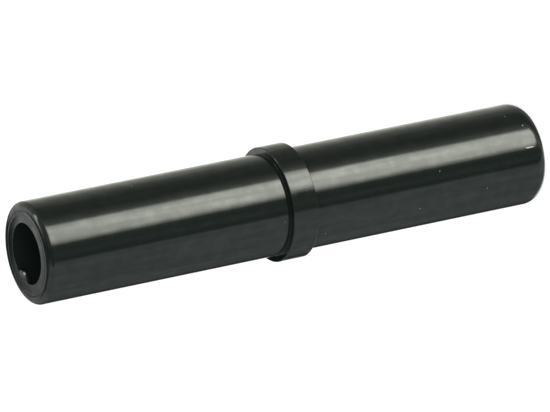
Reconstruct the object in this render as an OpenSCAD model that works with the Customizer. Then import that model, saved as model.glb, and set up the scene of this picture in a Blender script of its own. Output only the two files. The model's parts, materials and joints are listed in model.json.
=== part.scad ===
// Extension pipe for push-fit tubing: a straight tube in one moulded piece,
// with a stop collar in the middle and a spigot of the same size on each side.
// The pipe stands on its lower end, with its axis along Z.
// The origin is on that axis, at the middle of the collar.

/* [Pipe] */
// Outside diameter of both spigots
pipe_d = 12; // [8:0.5:20]
// Diameter of the bore
bore_d = 7.2; // [5:0.1:7.6]
// Length of the upper spigot, from the collar's shoulder to its end face
upper_len = 31; // [12:1:60]
// Length of the lower spigot, from the collar's shoulder to its end face
lower_len = 31; // [12:1:60]

/* [Collar] */
// How far the collar stands above the pipe
collar_step = 0.75; // [0.5:0.05:3]
// Width of the collar
collar_w = 3.2; // [2:0.2:8]
// Radius of the collar's two outer edges
collar_edge_r = 0.12; // [0.05:0.01:0.4]
// Radius of the fillet where each shoulder meets the pipe
root_r = 0.2; // [0.05:0.05:0.4]

/* [Ends] */
// Radius of the upper end's rounded lead-in
upper_lead_r = 0.65; // [0.3:0.05:0.8]
// Sweep of the upper lead-in's arc, where 90 runs smoothly into the end face
upper_lead_deg = 90; // [40:1:90]
// Radius of the lower end's rounded lead-in
lower_lead_r = 1.8; // [0.8:0.1:2.4]
// Sweep of the lower lead-in's arc, where 90 would run smoothly into the end face
lower_lead_deg = 46; // [30:1:50]
// Radius of the edge at each mouth of the bore
mouth_r = 0.3; // [0.25:0.05:0.4]

/* [Core line] */
// Diameter of the fine line that the mould's core leaves on the upper end face
line_d = 9.7; // [8.8:0.1:10]
// Width of the fine line
line_w = 0.14; // [0.1:0.02:0.3]
// Depth of the fine line
line_depth = 0.08; // [0.04:0.02:0.2]

/* [Gate vestige] */
// How far the broken gate stands into the bore, at the upper mouth
vestige_proud = 0.7; // [0.3:0.05:1.2]
// Diameter of the gate's rounded tongue
vestige_d = 2.8; // [1.6:0.1:3.4]
// Thickness of the tongue, whose front is level with the upper end face
vestige_t = 0.22; // [0.1:0.01:0.25]
// Where the gate stands round the axis, from +X towards +Y
vestige_deg = 121.5; // [0:0.5:359.5]

/* [Hidden] */
$fn = 180;
pipe_r = pipe_d / 2;
bore_r = bore_d / 2;
collar_r = pipe_r + collar_step;
upper_z = collar_w / 2 + upper_len;
lower_z = -collar_w / 2 - lower_len;
total_len = upper_z - lower_z;
black = [0.05, 0.055, 0.052];
// how far a cutting shape reaches past the face that it cuts
over = 1;
// how deep a joining shape is buried in what it joins
bury = 0.3;

// The waste outside a rounded corner. The arc's centre lies at [0, 0] of this shape,
// and the corner is up and to the right of it.
module corner_waste(r) {
    difference() {
        square(r + over);
        circle(r = r);
    }
}

// The waste round a lead-in whose end face is at y = 0: an arc of radius r that leaves
// the pipe's surface and has turned through sweep degrees where it reaches that face.
module lead_waste(r, sweep) {
    translate([pipe_r - r, -r * sin(sweep)])
        corner_waste(r);
}

// The fillet between a shoulder and the pipe, with their sharp corner at [0, 0]
module root_fillet() {
    difference() {
        translate([-bury, -bury])
            square(root_r + bury);
        translate([root_r, root_r])
            circle(r = root_r);
    }
}

// The pipe's section on one side of its axis: x out from the axis, y along the pipe
module section() {
    difference() {
        union() {
            translate([bore_r, lower_z])
                square([pipe_r - bore_r, total_len]);
            collar();
            for (side = [0, 1])
                mirror([0, side])
                    translate([pipe_r, collar_w / 2])
                        root_fillet();
        }
        translate([0, upper_z])
            lead_waste(upper_lead_r, upper_lead_deg);
        translate([0, lower_z])
            mirror([0, 1])
                lead_waste(lower_lead_r, lower_lead_deg);
        bore_edges();
        translate([line_d / 2 - line_w / 2, upper_z - line_depth])
            square([line_w, line_depth + over]);
    }
}

module collar() {
    difference() {
        translate([bore_r, -collar_w / 2])
            square([collar_r - bore_r, collar_w]);
        for (side = [0, 1])
            mirror([0, side])
                translate([collar_r - collar_edge_r, collar_w / 2 - collar_edge_r])
                    corner_waste(collar_edge_r);
    }
}

// The waste at the bore's two mouths
module bore_edges() {
    translate([bore_r + mouth_r, upper_z - mouth_r])
        mirror([1, 0])
            corner_waste(mouth_r);
    translate([bore_r + mouth_r, lower_z + mouth_r])
        mirror([0, 1])
            mirror([1, 0])
                corner_waste(mouth_r);
}

// What is left of the gate: a thin tongue with a rounded tip, on the bore's +X side
module gate_vestige() {
    tongue_r = vestige_d / 2;
    translate([0, 0, upper_z - vestige_t])
        intersection() {
            cylinder(r = bore_r + mouth_r + bury, h = vestige_t);
            translate([bore_r - vestige_proud + tongue_r, 0, 0])
                cylinder(r = tongue_r, h = vestige_t);
        }
}

module extension_pipe() {
    color(black)
        union() {
            rotate_extrude()
                section();
            rotate(vestige_deg)
                gate_vestige();
        }
}

extension_pipe();
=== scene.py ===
import json
import math

import bpy
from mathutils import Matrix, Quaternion, Vector


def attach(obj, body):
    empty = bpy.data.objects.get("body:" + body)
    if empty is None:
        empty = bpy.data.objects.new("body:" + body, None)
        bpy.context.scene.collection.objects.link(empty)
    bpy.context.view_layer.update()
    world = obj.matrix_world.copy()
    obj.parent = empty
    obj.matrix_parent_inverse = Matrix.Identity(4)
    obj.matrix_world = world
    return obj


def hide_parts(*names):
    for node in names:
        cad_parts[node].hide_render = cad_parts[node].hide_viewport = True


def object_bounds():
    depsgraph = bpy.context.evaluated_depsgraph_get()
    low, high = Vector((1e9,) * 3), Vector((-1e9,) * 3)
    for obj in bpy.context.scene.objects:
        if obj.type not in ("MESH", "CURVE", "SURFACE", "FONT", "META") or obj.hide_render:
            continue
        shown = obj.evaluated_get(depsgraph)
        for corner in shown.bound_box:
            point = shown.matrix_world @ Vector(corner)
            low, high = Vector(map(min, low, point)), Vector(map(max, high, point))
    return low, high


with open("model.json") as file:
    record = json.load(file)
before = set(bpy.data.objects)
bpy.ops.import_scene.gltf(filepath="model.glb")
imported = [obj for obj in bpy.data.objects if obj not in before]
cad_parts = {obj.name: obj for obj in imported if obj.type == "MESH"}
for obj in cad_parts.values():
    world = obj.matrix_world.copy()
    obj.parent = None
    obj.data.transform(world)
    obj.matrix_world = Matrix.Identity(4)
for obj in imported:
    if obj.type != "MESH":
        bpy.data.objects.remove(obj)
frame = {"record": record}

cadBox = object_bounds()
mm = 0.001
weld = mm / 1000  # points closer than this become one
mounts = {mount["name"]: mount for mount in frame["record"]["mounts"]}
scene = bpy.context.scene
bpy.ops.object.select_all(action="DESELECT")
print("frame loaded")


class Wire:
    # one output socket, so that sums on values read as plain arithmetic
    def __init__(self, tree, socket):
        self.tree = tree
        self.socket = socket

    def maths(self, operation, *values):
        return addNode(self.tree, "ShaderNodeMath", {"operation": operation}, dict(enumerate(values)))

    def __add__(self, other):
        return self.maths("ADD", self, other)

    def __radd__(self, other):
        return self.maths("ADD", other, self)

    def __sub__(self, other):
        return self.maths("SUBTRACT", self, other)

    def __rsub__(self, other):
        return self.maths("SUBTRACT", other, self)

    def __mul__(self, other):
        return self.maths("MULTIPLY", self, other)

    def __rmul__(self, other):
        return self.maths("MULTIPLY", other, self)

    def blend(self, low, high):
        return low + self * (high - low)


def placeStops(ramp, stops):
    while len(ramp.elements) > 1:
        ramp.elements.remove(ramp.elements[-1])
    ramp.elements[0].position = stops[0][0]
    ramp.elements[0].color = (*[stops[0][1]] * 3, 1)
    for position, level in stops[1:]:
        ramp.elements.new(position).color = (level, level, level, 1)


def addNode(tree, kind, settings=None, sockets=None, output=0):
    made = tree.nodes.new(kind)
    for name, value in (settings or {}).items():
        if name == "stops":
            placeStops(made.color_ramp, value)
        else:
            setattr(made, name, value)
    for key, value in (sockets or {}).items():
        if isinstance(value, Wire):
            tree.links.new(value.socket, made.inputs[key])
        else:
            made.inputs[key].default_value = value
    return Wire(tree, made.outputs[output]) if made.outputs else made


def newMaterial(name):
    material = bpy.data.materials.new(name)
    material.use_nodes = True
    material.node_tree.nodes.clear()
    return material, material.node_tree


def smoothRamp(tree, value, low, high):
    sockets = {"Value": value, "From Min": low, "From Max": high}
    return addNode(tree, "ShaderNodeMapRange", {"interpolation_type": "SMOOTHSTEP"}, sockets)


def mixColours(tree, share, low, high):
    return addNode(tree, "ShaderNodeMix", {"data_type": "RGBA"}, {0: share, 6: low, 7: high}, 2)


def splitVector(tree, vector):
    outputs = addNode(tree, "ShaderNodeSeparateXYZ", None, {0: vector}).socket.node.outputs
    return [Wire(tree, socket) for socket in outputs]


# the moulded pipe: one revolved section, then what is left of its gate
pipe = {
    "radius": mounts["upper_spigot"]["dims"]["r_mm"] * mm,
    "bore": mounts["bore"]["dims"]["r_mm"] * mm,
    "collar": cadBox[1].x,
    "collarHalf": mounts["upper_shoulder"]["pos_m"][2],
    "top": cadBox[1].z,
    "foot": cadBox[0].z,
    "upperLead": 0.66 * mm,  # radius of the upper end's outer edge
    "crownFrom": 4.9 * mm,  # the upper end is flat from the mouth to here, but for the core line
    "crownSweep": 8,  # degrees that the crown turns through
    "lowerLead": 1.8 * mm,
    "lowerSweep": 46,
    "mouth": 0.06 * mm,  # radius of the bore's edge at both ends
    "collarEdge": 0.1 * mm,
    "root": 0.03 * mm,  # fillet at the foot of each shoulder
    "coreLine": 4.67 * mm,
    "lineHalf": 0.1 * mm,
    "lineDepth": 0.005 * mm,
    "leadSteps": 16,
    "edgeSteps": 8,
    "holdGap": 0.04 * mm,
    "holdFrom": 4,  # shortest run that is held, in gaps
    "spinSteps": 256,
    "smoothBelow": 30,
}


def arc(centre, radius, start, end, steps):
    angles = [math.radians(start + (end - start) * i / steps) for i in range(steps + 1)]
    return [(centre[0] + radius * math.cos(a), centre[1] + radius * math.sin(a)) for a in angles]


def leadIn(p):
    # the upper end's outer part: a shallow crown that runs into a tighter round
    sweep, lead = p["crownSweep"], p["upperLead"]
    turn = math.radians(sweep)
    joinX = p["radius"] - lead * (1 - math.sin(turn))
    crown = (joinX - p["crownFrom"]) / math.sin(turn)
    joinZ = p["top"] - crown * (1 - math.cos(turn))
    roundZ = joinZ - lead * math.cos(turn)
    points = arc((p["crownFrom"], p["top"] - crown), crown, 90, 90 - sweep, p["edgeSteps"])
    return points + arc((p["radius"] - lead, roundZ), lead, 90 - sweep, 0, p["leadSteps"])


def coreGroove(p):
    # the fine line that the mould's core leaves round the upper end
    line, half, top = p["coreLine"], p["lineHalf"], p["top"]
    low = top - p["lineDepth"]
    return [(line - half, top), (line - half / 2, low), (line + half / 2, low), (line + half, top)]


def pipeSection(p):
    # the wall's outline, from the bore's upper edge outwards and down: distance from the axis, then height
    low = math.radians(p["lowerSweep"])
    mouthX = p["bore"] + p["mouth"]
    rootX = p["radius"] + p["root"]
    edgeX = p["collar"] - p["collarEdge"]
    leadZ = p["foot"] + p["lowerLead"] * math.sin(low)
    steps = p["edgeSteps"]
    section = arc((mouthX, p["top"] - p["mouth"]), p["mouth"], 180, 90, steps)
    section += coreGroove(p)
    section += leadIn(p)
    section += arc((rootX, p["collarHalf"] + p["root"]), p["root"], 180, 270, steps)
    section += arc((edgeX, p["collarHalf"] - p["collarEdge"]), p["collarEdge"], 90, 0, steps)
    section += arc((edgeX, p["collarEdge"] - p["collarHalf"]), p["collarEdge"], 0, -90, steps)
    section += arc((rootX, -p["collarHalf"] - p["root"]), p["root"], 90, 180, steps)
    lead = p["lowerLead"]
    section += arc((p["radius"] - lead, leadZ), lead, 0, -p["lowerSweep"], p["leadSteps"])
    section += arc((mouthX, p["foot"] + p["mouth"]), p["mouth"], 270, 180, steps)
    return section


def holdCorners(points, gap, shortest):
    # long straight runs get a point close to each end, so that smooth shading stays flat along them
    held = []
    for i, here in enumerate(points):
        there = points[(i + 1) % len(points)]
        run = Vector((there[0] - here[0], there[1] - here[1]))
        held.append(here)
        if run.length > shortest * gap:
            step = run.normalized() * gap
            held.append((here[0] + step.x, here[1] + step.y))
            held.append((there[0] - step.x, there[1] - step.y))
    return held


def drawLoop(name, points):
    # a small plane merged to one point, which is then drawn out from corner to corner and closed
    bpy.ops.mesh.primitive_plane_add(size=mm, enter_editmode=True)
    made = bpy.context.object
    made.name = name
    bpy.ops.mesh.merge(type="CENTER")
    bpy.ops.transform.translate(value=points[0])
    for here, there in zip(points, points[1:] + points[:1]):
        move = Vector(there) - Vector(here)
        bpy.ops.mesh.extrude_region_move(TRANSFORM_OT_translate={"value": move})
    bpy.ops.mesh.select_all(action="SELECT")
    bpy.ops.mesh.remove_doubles(threshold=weld)
    return made


def makePipe(p):
    section = holdCorners(pipeSection(p), p["holdGap"], p["holdFrom"])
    made = drawLoop("extensionPipe", [(x, 0, z) for x, z in section])
    bpy.ops.mesh.spin(steps=p["spinSteps"], angle=math.tau, center=(0, 0, 0), axis=(0, 0, 1))
    bpy.ops.mesh.select_all(action="SELECT")
    bpy.ops.mesh.remove_doubles(threshold=weld)
    bpy.ops.mesh.normals_make_consistent(inside=False)
    bpy.ops.object.mode_set(mode="OBJECT")
    return made


extensionPipe = makePipe(pipe)
print("pipe revolved:", len(extensionPipe.data.polygons), "faces")


# what is left of the gate: a thin tongue, level with the upper end; places are a distance out and a turn
gate = {
    "proud": 0.9 * mm,
    "tongueRadius": 1.4 * mm,
    "thickness": 0.3 * mm,
    "turn": 138,
    "tongueSides": 48,
    "buried": 0.25 * mm,
    "buriedSides": 96,
    "brokenEdge": 0.14 * mm,
    "brokenSegments": 2,
    "brokenFrom": 60,  # only edges sharper than this are broken
    "pitRadius": 0.13 * mm,
    "pitPlace": (3.36 * mm, 144),
    "chipRadius": 0.3 * mm,
    "chipSides": 24,
    "chipPlace": (2.84 * mm, 139),
    "chipDepth": 0.07 * mm,
    "chipFacing": (0.315, -0.363, 0.877),
}


def fixPlace():
    bpy.ops.object.transform_apply(location=True, rotation=True, scale=True)
    return bpy.context.object


def cutPiece(piece, tool, operation):
    cut = piece.modifiers.new(operation, "BOOLEAN")
    cut.operation = operation
    cut.object = tool
    cut.solver = "EXACT"
    bpy.ops.object.select_all(action="DESELECT")
    bpy.context.view_layer.objects.active = piece
    piece.select_set(True)
    bpy.ops.object.modifier_apply(modifier=cut.name)
    bpy.data.objects.remove(tool)


def addPlug(radius, depth, place, sides):
    bpy.ops.mesh.primitive_cylinder_add(vertices=sides, radius=radius, depth=depth, location=place)
    return fixPlace()


def onEnd(place, depth, p):
    # a point at a depth below the upper end
    out, turn = place[0], math.radians(place[1])
    return Vector((out * math.cos(turn), out * math.sin(turn), p["top"] - depth))


def makeGate(g, p):
    # a thin disc across the bore's edge, cut off a little way inside the wall, with its edges broken
    out = p["bore"] - g["proud"] + g["tongueRadius"]
    middle = g["thickness"] / 2
    place = onEnd((out, g["turn"]), middle, p)
    tongue = addPlug(g["tongueRadius"], g["thickness"], place, g["tongueSides"])
    tongue.name = "gateVestige"
    reach = p["bore"] + p["mouth"] + g["buried"]
    inner = addPlug(reach, 4 * g["thickness"], onEnd((0, 0), middle, p), g["buriedSides"])
    cutPiece(tongue, inner, "INTERSECT")
    worn = tongue.modifiers.new("brokenEdge", "BEVEL")
    worn.width = g["brokenEdge"]
    worn.segments = g["brokenSegments"]
    worn.angle_limit = math.radians(g["brokenFrom"])
    bpy.ops.object.modifier_apply(modifier=worn.name)
    return tongue


def makePit(g, p):
    place = onEnd(g["pitPlace"], 0, p)
    bpy.ops.mesh.primitive_ico_sphere_add(subdivisions=2, radius=g["pitRadius"], location=place)
    return fixPlace()


def makeChip(g, p):
    # a short rod whose flat foot leaves a slanted facet
    facing = Vector(g["chipFacing"]).normalized()
    place = onEnd(g["chipPlace"], g["chipDepth"], p) + facing * g["chipRadius"]
    bpy.ops.mesh.primitive_cylinder_add(vertices=g["chipSides"], radius=g["chipRadius"],
                                        depth=2 * g["chipRadius"], location=place,
                                        rotation=facing.to_track_quat("Z", "Y").to_euler())
    return fixPlace()


cutPiece(extensionPipe, makeGate(gate, pipe), "UNION")
cutPiece(extensionPipe, makePit(gate, pipe), "DIFFERENCE")
cutPiece(extensionPipe, makeChip(gate, pipe), "DIFFERENCE")
bpy.ops.object.shade_smooth_by_angle(angle=math.radians(pipe["smoothBelow"]))
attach(extensionPipe, "root")
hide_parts("extension_pipe")
print("gate joined:", len(extensionPipe.data.polygons), "faces")


# black moulded plastic, glossy, with faint lines drawn along the pipe, and painted light in the bore,
# where the same plastic takes a paler colour
plastic = {
    "colour": (0.0085, 0.0145, 0.0115, 1),
    # painted light: a paler copy of the plastic's colour for the shaded bore
    "boreColour": (0.015, 0.021, 0.018, 1),
    "boreSoft": 0.1 * mm,
    "roughness": 0.1,
    "index": 1.49,
    "coat": 0.12,
    "coatVaries": 0.9,
    "coatRoughness": 0.12,
    "streaksAcross": 1600,
    "streaksAlong": 90,
    "streakDetail": 3.0,
    "blotches": 700,
    "blotchDetail": 4.0,
    "collarTurn": -2.8,
    "collarFrom": (0.5 * mm, 0.7 * mm),  # above the spigots
    "bump": 0.05,
    "bumpDepth": 0.02 * mm,
}


def noise(tree, place, scale, detail):
    stretched = addNode(tree, "ShaderNodeMapping", None, {"Vector": place, "Scale": scale})
    return addNode(tree, "ShaderNodeTexNoise", None, {"Vector": stretched, "Scale": 1.0, "Detail": detail})


def distanceOut(tree, place):
    flat = addNode(tree, "ShaderNodeVectorMath", {"operation": "MULTIPLY"}, {0: place, 1: (1, 1, 0)})
    return addNode(tree, "ShaderNodeVectorMath", {"operation": "LENGTH"}, {0: flat}, 1)


def turnedNormal(tree, out, s, p):
    # on the collar's side the normals are turned a little about the axis, which shifts what it mirrors
    low, high = s["collarFrom"]
    onCollar = smoothRamp(tree, out, p["radius"] + low, p["radius"] + high)
    facing = addNode(tree, "ShaderNodeNewGeometry", output=1)
    return addNode(tree, "ShaderNodeVectorRotate", {"rotation_type": "Z_AXIS"},
                   {"Vector": facing, "Angle": onCollar * math.radians(s["collarTurn"])})


def makePlastic(s, p):
    material, tree = newMaterial("mouldedBlack")
    place = addNode(tree, "ShaderNodeTexCoord", output=3)
    lengthwise = (s["streaksAcross"], s["streaksAcross"], s["streaksAlong"])
    streaks = noise(tree, place, lengthwise, s["streakDetail"])
    blotches = noise(tree, place, (s["blotches"],) * 3, s["blotchDetail"])
    out = distanceOut(tree, place)
    wall = smoothRamp(tree, out, p["bore"] - s["boreSoft"], p["bore"] + s["boreSoft"])
    # painted light: inside the bore's radius the paler colour stands in for light in the bore
    colour = mixColours(tree, wall, s["boreColour"], s["colour"])
    mottle = (streaks + blotches - 1) * s["coatVaries"] + s["coat"]
    bump = addNode(tree, "ShaderNodeBump", None,
                   {"Strength": s["bump"], "Distance": s["bumpDepth"], "Height": streaks,
                    "Normal": turnedNormal(tree, out, s, p)})
    shader = addNode(tree, "ShaderNodeBsdfPrincipled", None,
                     {"Base Color": colour, "Roughness": s["roughness"], "IOR": s["index"], "Normal": bump,
                      "Coat Weight": mottle, "Coat Roughness": s["coatRoughness"]})
    addNode(tree, "ShaderNodeOutputMaterial", None, {"Surface": shader})
    return material


extensionPipe.data.materials.clear()
extensionPipe.data.materials.append(makePlastic(plastic, pipe))
print("plastic made")


# dust on the pipe, and one painted glint, a long white streak near the foot at the lower edge of the
# softbox's reflection: degrees round the axis, then height, half length along the pipe and half width in
# mm
dust = {
    "specks": [(-31, 19.4, 0.04, 0.04), (-29, 22.4, 0.04, 0.04), (-41, -29.3, 0.05, 0.04),
               (-59, -30.7, 0.09, 0.06), (-92, -18.3, 0.06, 0.05), (-123, -24.5, 0.05, 0.04),
               (-132, -15.6, 0.04, 0.04), (-140, -3.2, 0.04, 0.04), (-113, 2.4, 0.04, 0.04),
               # painted highlight: the long streak at the end of this row is a glint, not dust
               (-142, 2.4, 0.04, 0.04), (-86, -30.6, 0.62, 0.1)],
    "halfThickness": 0.06 * mm,
    "sunk": 0.02 * mm,
    "colour": (0.85, 0.85, 0.8, 1),
}


def makeSpot(spot, d, p):
    turn, height, along, across = spot
    angle = math.radians(turn)
    out = p["radius"] - d["sunk"]
    place = (out * math.cos(angle), out * math.sin(angle), height * mm)
    bpy.ops.mesh.primitive_ico_sphere_add(subdivisions=2, radius=1, location=place, rotation=(0, 0, angle),
                                          scale=(d["halfThickness"], across * mm, along * mm))
    made = fixPlace()
    made.name = "dust"
    bpy.ops.object.shade_smooth()
    return made


def makeDustAndGlint(d, p):
    material, tree = newMaterial("dust")
    # a white matt finish for the dust, which also paints the glint
    matt = addNode(tree, "ShaderNodeBsdfDiffuse", None, {"Color": d["colour"]})
    addNode(tree, "ShaderNodeOutputMaterial", None, {"Surface": matt})
    for spot in d["specks"]:
        made = makeSpot(spot, d, p)
        made.data.materials.append(material)


makeDustAndGlint(dust, pipe)
print("dust laid")


# the camera looks down on the standing pipe, and is rolled so that the pipe lies across the picture
view = {
    "lens": 445.0,
    "distance": 785.9 * mm,
    "elevation": 26.31,
    "roll": -101.59,
    "aim": (-0.326 * mm, -0.381 * mm, 0.729 * mm),
}


def addCamera(v):
    up = math.radians(v["elevation"])
    back = Vector((0, -math.cos(up), math.sin(up))) * v["distance"]
    bpy.ops.object.camera_add()
    camera = bpy.context.object
    camera.name = "camera"
    camera.data.lens = v["lens"]
    camera.location = Vector(v["aim"]) + back
    camera.rotation_mode = "QUATERNION"
    roll = Quaternion((0, 0, 1), math.radians(v["roll"]))
    camera.rotation_quaternion = (-back).to_track_quat("-Z", "Y") @ roll
    scene.camera = camera


addCamera(view)
print("camera placed")


# a pale floor, white to the camera but for the pipe's soft shadow
floorSet = {
    "size": 6,
    "colour": (0.55, 0.55, 0.55, 1),
    "glow": 0.8,
}


def whiteRays(tree):
    # 1 where the camera looks, directly or by way of gloss or glass
    outputs = addNode(tree, "ShaderNodeLightPath").socket.node.outputs
    kinds = ("Is Camera Ray", "Is Glossy Ray", "Is Transmission Ray")
    camera, glossy, through = [Wire(tree, outputs[kind]) for kind in kinds]
    return camera + glossy + through


def makeFloor(f, p):
    bpy.ops.mesh.primitive_plane_add(size=f["size"], location=(0, 0, p["foot"]))
    floor = bpy.context.object
    floor.name = "floor"
    material, tree = newMaterial("paleFloor")
    matt = addNode(tree, "ShaderNodeBsdfDiffuse", None, {"Color": f["colour"]})
    glow = addNode(tree, "ShaderNodeEmission", None, {"Strength": whiteRays(tree) * f["glow"]})
    both = addNode(tree, "ShaderNodeAddShader", None, {0: matt, 1: glow})
    addNode(tree, "ShaderNodeOutputMaterial", None, {"Surface": both})
    floor.data.materials.append(material)
    floor.visible_glossy = False


makeFloor(floorSet, pipe)
print("floor laid")


# the studio that the gloss mirrors: a pale table with the pipe's shadow painted on it, a dark gap, a
# softbox and a grey room, as levels by azimuth or elevation in degrees, and for the strip and the lamp's
# sides by parts of a unit direction
room = {
    "radius": 3,
    "azimuths": (-250, 110),
    "elevations": (-90, 90),
    # the pale table's level falls from -138 towards -250: a painted shadow of the pipe on the mirrored
    # table
    "around": [(-250, 0.05), (-242, 0.05), (-234, 0.13), (-210, 0.32), (-180, 0.53), (-160, 0.67),
               (-138, 0.7), (-123, 0.68), (-120, 0.17), (-113, 0.18), (-107, 0.3), (-96, 0.19),
               (-87, 0.26), (-81, 0.5), (-36, 0.9), (-30, 0.5), (-24, 0.34), (-17, 0.2), (0, 0.19),
               (15, 0.25), (32, 0.44), (48, 0.64), (66, 0.88), (82, 1), (98, 0.9), (105, 0.1),
               (110, 0.05)],
    "above": [(-250, 0.46), (-230, 0.5), (-200, 0.6), (-134, 0.62), (-127, 0.14), (-92, 0.1), (-80, 0.3),
              (-40, 0.4), (0, 0.4), (60, 0.7), (82, 0.9), (87, 0.75), (89, 0.48), (110, 0.48)],
    "aboveFrom": (-15, 20),
    "zenith": 0.1,
    "zenithFrom": (66, 76),
    "softbox": 10,
    "softboxAround": [(-86, 0), (-83, 0.15), (-79.5, 0.33), (-76, 0.58), (-71, 0.76), (-62, 0.8),
                      (-53, 0.87), (-46, 0.76), (-42, 0.6), (-39.5, 0.36), (-37, 0.07), (-35, 0)],
    "softboxUp": [(-56, 0), (-52, 0.1), (-48, 0.6), (-42, 0.85), (-34, 0.97), (-28, 1), (-25.5, 0.96),
                  (-24, 0.8), (-18, 0.72), (-2, 0.62), (7, 0.5), (11, 0.08), (16, 0)],
    "softboxCentre": -58,
    "softboxNarrow": 0.35,
    "narrowFrom": (-31, -40),
    "lamp": 4.5,
    "lampAcross": (8, 74),
    "lampAcrossSoft": 3,
    "lampPole": (-0.479, -0.604, 0.637),
    "lampSide": (-0.03, 0.1),
    "lampSideSoft": 0.03,
    "lampRise": (0, 20),
    "farDark": 0.04,
    "farSlant": 0.645,
    "farFrom": (73.9, 74.9),
    "farTo": (91.2, 92.2),
    "farUp": (-18, 25.5),
    "farUpSoft": 0.6,
    "strip": 0.08,
    "stripAcross": (-0.13, 0.08),
    "stripAcrossSoft": 0.02,
    "stripUp": (26.6, 28.2),
    "stripNorth": (0, 0.1),
    "under": [((15, 88), (-41, -31), 0.3), ((93, 132), (-42, -32), 1.1)],  # azimuths, elevations, level
    "underSoft": 5,
    "underAzimuths": (-90, 270),
    "coldTint": (0.93, 1, 0.99, 1),
    "warmTint": (0.98, 1, 0.89, 1),
    "warmFrom": (-120, -80),
    "endTint": (0.97, 1, 0.98, 1),
    "endFrom": (74, 84),
}


def band(tree, value, edges, soft):
    rise = smoothRamp(tree, value, edges[0] - soft, edges[0] + soft)
    fall = smoothRamp(tree, value, edges[1] - soft, edges[1] + soft)
    return rise * (1 - fall)


def levelRamp(tree, angle, stops, span):
    low, high = span
    placed = [((turn - low) / (high - low), level) for turn, level in stops]
    return addNode(tree, "ShaderNodeValToRGB", {"stops": placed}, {0: (angle - low) * (1 / (high - low))})


def wrap(azimuth, span):
    return azimuth.maths("WRAP", azimuth, span[1], span[0])


def directions(tree, span):
    # azimuth and elevation in degrees and the unit direction of a point seen from the origin
    place = addNode(tree, "ShaderNodeTexCoord", output=3)
    x, y, z = splitVector(tree, place)
    azimuth = y.maths("ARCTAN2", y, x) * (180 / math.pi)
    flat = x.maths("SQRT", x * x + y * y)
    elevation = z.maths("ARCTAN2", z, flat) * (180 / math.pi)
    towards = addNode(tree, "ShaderNodeVectorMath", {"operation": "NORMALIZE"}, {0: place})
    return wrap(azimuth, span), elevation, towards


def softboxLevel(tree, azimuth, elevation, r):
    # low down the softbox is narrower
    narrow = 1 + smoothRamp(tree, elevation, *r["narrowFrom"]) * r["softboxNarrow"]
    across = r["softboxCentre"] + (azimuth - r["softboxCentre"]) * narrow
    sides = levelRamp(tree, across, r["softboxAround"], r["azimuths"])
    return sides * levelRamp(tree, elevation, r["softboxUp"], r["elevations"]) * r["softbox"]


def lampShare(tree, azimuth, elevation, towards, r):
    # a slanting lamp that fades in upwards
    sides = {0: towards, 1: r["lampPole"]}
    aside = addNode(tree, "ShaderNodeVectorMath", {"operation": "DOT_PRODUCT"}, sides, 1)
    across = band(tree, azimuth, r["lampAcross"], r["lampAcrossSoft"])
    lamp = across * band(tree, aside, r["lampSide"], r["lampSideSoft"])
    return lamp * smoothRamp(tree, elevation, *r["lampRise"])


def farShare(tree, azimuth, elevation, r):
    # a dark far corner with one slanting edge
    far = smoothRamp(tree, azimuth - elevation * r["farSlant"], *r["farFrom"])
    far = far * (1 - smoothRamp(tree, azimuth, *r["farTo"]))
    return far * band(tree, elevation, r["farUp"], r["farUpSoft"])


def stripShare(tree, elevation, towards, r):
    east, north = splitVector(tree, towards)[:2]
    strip = band(tree, east, r["stripAcross"], r["stripAcrossSoft"])
    return strip * smoothRamp(tree, elevation, *r["stripUp"]) * smoothRamp(tree, north, *r["stripNorth"])


def roomLevel(tree, azimuth, elevation, towards, r):
    around = levelRamp(tree, azimuth, r["around"], r["azimuths"])
    above = levelRamp(tree, azimuth, r["above"], r["azimuths"])
    level = smoothRamp(tree, elevation, *r["aboveFrom"]).blend(around, above)
    level = smoothRamp(tree, elevation, *r["zenithFrom"]).blend(level, r["zenith"])
    level = level.maths("MAXIMUM", level, softboxLevel(tree, azimuth, elevation, r))
    level = lampShare(tree, azimuth, elevation, towards, r).blend(level, r["lamp"])
    level = farShare(tree, azimuth, elevation, r).blend(level, r["farDark"])
    level = stripShare(tree, elevation, towards, r).blend(level, r["strip"])
    wrapped = wrap(azimuth, r["underAzimuths"])
    for across, up, shade in r["under"]:
        patch = band(tree, wrapped, across, r["underSoft"]) * (1 - smoothRamp(tree, elevation, *up))
        level = patch.blend(level, shade)
    return level


def roomTint(tree, azimuth, r):
    tint = mixColours(tree, smoothRamp(tree, azimuth, *r["warmFrom"]), r["coldTint"], r["warmTint"])
    return mixColours(tree, smoothRamp(tree, azimuth, *r["endFrom"]), tint, r["endTint"])


def glowOnly(tree, tint, level):
    lit = addNode(tree, "ShaderNodeVectorMath", {"operation": "SCALE"}, {0: tint, "Scale": level})
    glow = addNode(tree, "ShaderNodeEmission", None, {"Color": lit})
    addNode(tree, "ShaderNodeOutputMaterial", None, {"Surface": glow})


def mirroredOnly(piece):
    piece.visible_camera = False
    piece.visible_diffuse = False
    piece.visible_transmission = False
    piece.visible_shadow = False


def makeRoom(r):
    bpy.ops.mesh.primitive_uv_sphere_add(segments=48, ring_count=24, radius=r["radius"])
    shell = bpy.context.object
    shell.name = "studioReflections"
    material, tree = newMaterial("studioReflections")
    azimuth, elevation, towards = directions(tree, r["azimuths"])
    glowOnly(tree, roomTint(tree, azimuth, r), roomLevel(tree, azimuth, elevation, towards, r))
    shell.data.materials.append(material)
    mirroredOnly(shell)


makeRoom(room)
print("mirrored studio made")


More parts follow.
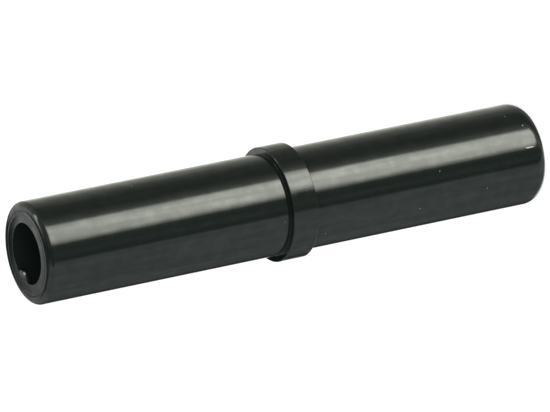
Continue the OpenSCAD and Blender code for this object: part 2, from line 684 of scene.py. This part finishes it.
# cards that the flat faces mirror, in mm: over the upper end a pale one and two dark ones, whose heights
# are from that end, and behind the shoulder a dark one and a pale one
cards = {
    "lift": 8,
    "reach": 17.8,  # how far back a card at that lift stands, to be mirrored where its corners say
    "pale": [(4.8, -5, 8.3), (4.8, 0.1, 8.3), (3.4, 1.5, 8.3), (2, 1.1, 8.3), (-5, 1.1, 8.3),
             (-4.5, -5, 8.3)],
    "dark": [(4.68, 0.44, 8), (4.68, 10, 8), (-4.6, 10, 8), (-4.6, 2.4, 8), (-3.7, 2.9, 8), (-2.5, 3.7, 8),
             (-1.2, 3.9, 8), (0.2, 3.5, 8), (1.2, 2.6, 8), (2.4, 2, 8), (3.3, 1.75, 8), (3.5, 1.64, 8)],
    "line": [(4.88, -0.7, 8), (4.58, -0.75, 8), (2.8, -2.8, 8), (3.05, -3.05, 8)],
    "behindFoot": [(-13, 70, 31), (-1.3, 70, 31), (-1.3, 70, 43), (-13, 70, 43)],
    "behindTop": [(3.8, 70, 31), (12, 70, 31), (12, 70, 43), (3.8, 70, 43)],
    "darkLevel": 0.01,
    "paleLevels": (0.5, 1.0),
    "paleFrom": (-4 * mm, 4.5 * mm),
    "tint": (0.98, 1, 1),
}


def cardMaterial(name, c, low, high):
    material, tree = newMaterial(name)
    across = splitVector(tree, addNode(tree, "ShaderNodeTexCoord", output=3))[0]
    glowOnly(tree, c["tint"], smoothRamp(tree, across, *c["paleFrom"]).blend(low, high))
    return material


def makeCard(name, corners, material):
    made = drawLoop(name, [Vector(corner) * mm for corner in corners])
    bpy.ops.mesh.edge_face_add()
    bpy.ops.object.mode_set(mode="OBJECT")
    made.data.materials.append(material)
    mirroredOnly(made)


def makeCards(c, p):
    dark = cardMaterial("darkCard", c, c["darkLevel"], c["darkLevel"])
    pale = cardMaterial("paleCard", c, *c["paleLevels"])
    for name in ("pale", "dark", "line"):
        overEnd = [(x, y + c["reach"] * z / c["lift"], p["top"] / mm + z) for x, y, z in c[name]]
        makeCard(name + "Card", overEnd, pale if name == "pale" else dark)
    makeCard("behindFoot", c["behindFoot"], dark)
    makeCard("behindTop", c["behindTop"], pale)


makeCards(cards, pipe)
print("mirrored cards made")


# plain soft light: two broad lamps that face the pipe and an even sky
lamps = {
    "places": [(-0.3, -0.8, 0.4), (0.6, -0.6, 0.45)],
    "powers": [3.0, 1.5],
    "size": 0.6,
    "sky": 0.5,
}


def addLamp(place, power, size):
    bpy.ops.object.light_add(type="AREA", location=place)
    lamp = bpy.context.object
    lamp.data.energy = power
    lamp.data.size = size
    lamp.rotation_mode = "QUATERNION"
    lamp.rotation_quaternion = (-Vector(place)).to_track_quat("-Z", "Y")
    lamp.visible_glossy = False


def lightWorld(sky):
    world = bpy.data.worlds.new("studio")
    scene.world = world
    world.use_nodes = True
    tree = world.node_tree
    tree.nodes.clear()
    level = sky + whiteRays(tree) * (1 - sky)
    background = addNode(tree, "ShaderNodeBackground", None, {"Strength": level})
    addNode(tree, "ShaderNodeOutputWorld", None, {"Surface": background})


for place, power in zip(lamps["places"], lamps["powers"]):
    addLamp(place, power, lamps["size"])
lightWorld(lamps["sky"])
scene.view_settings.view_transform = "Standard"
print("lamps and sky placed")
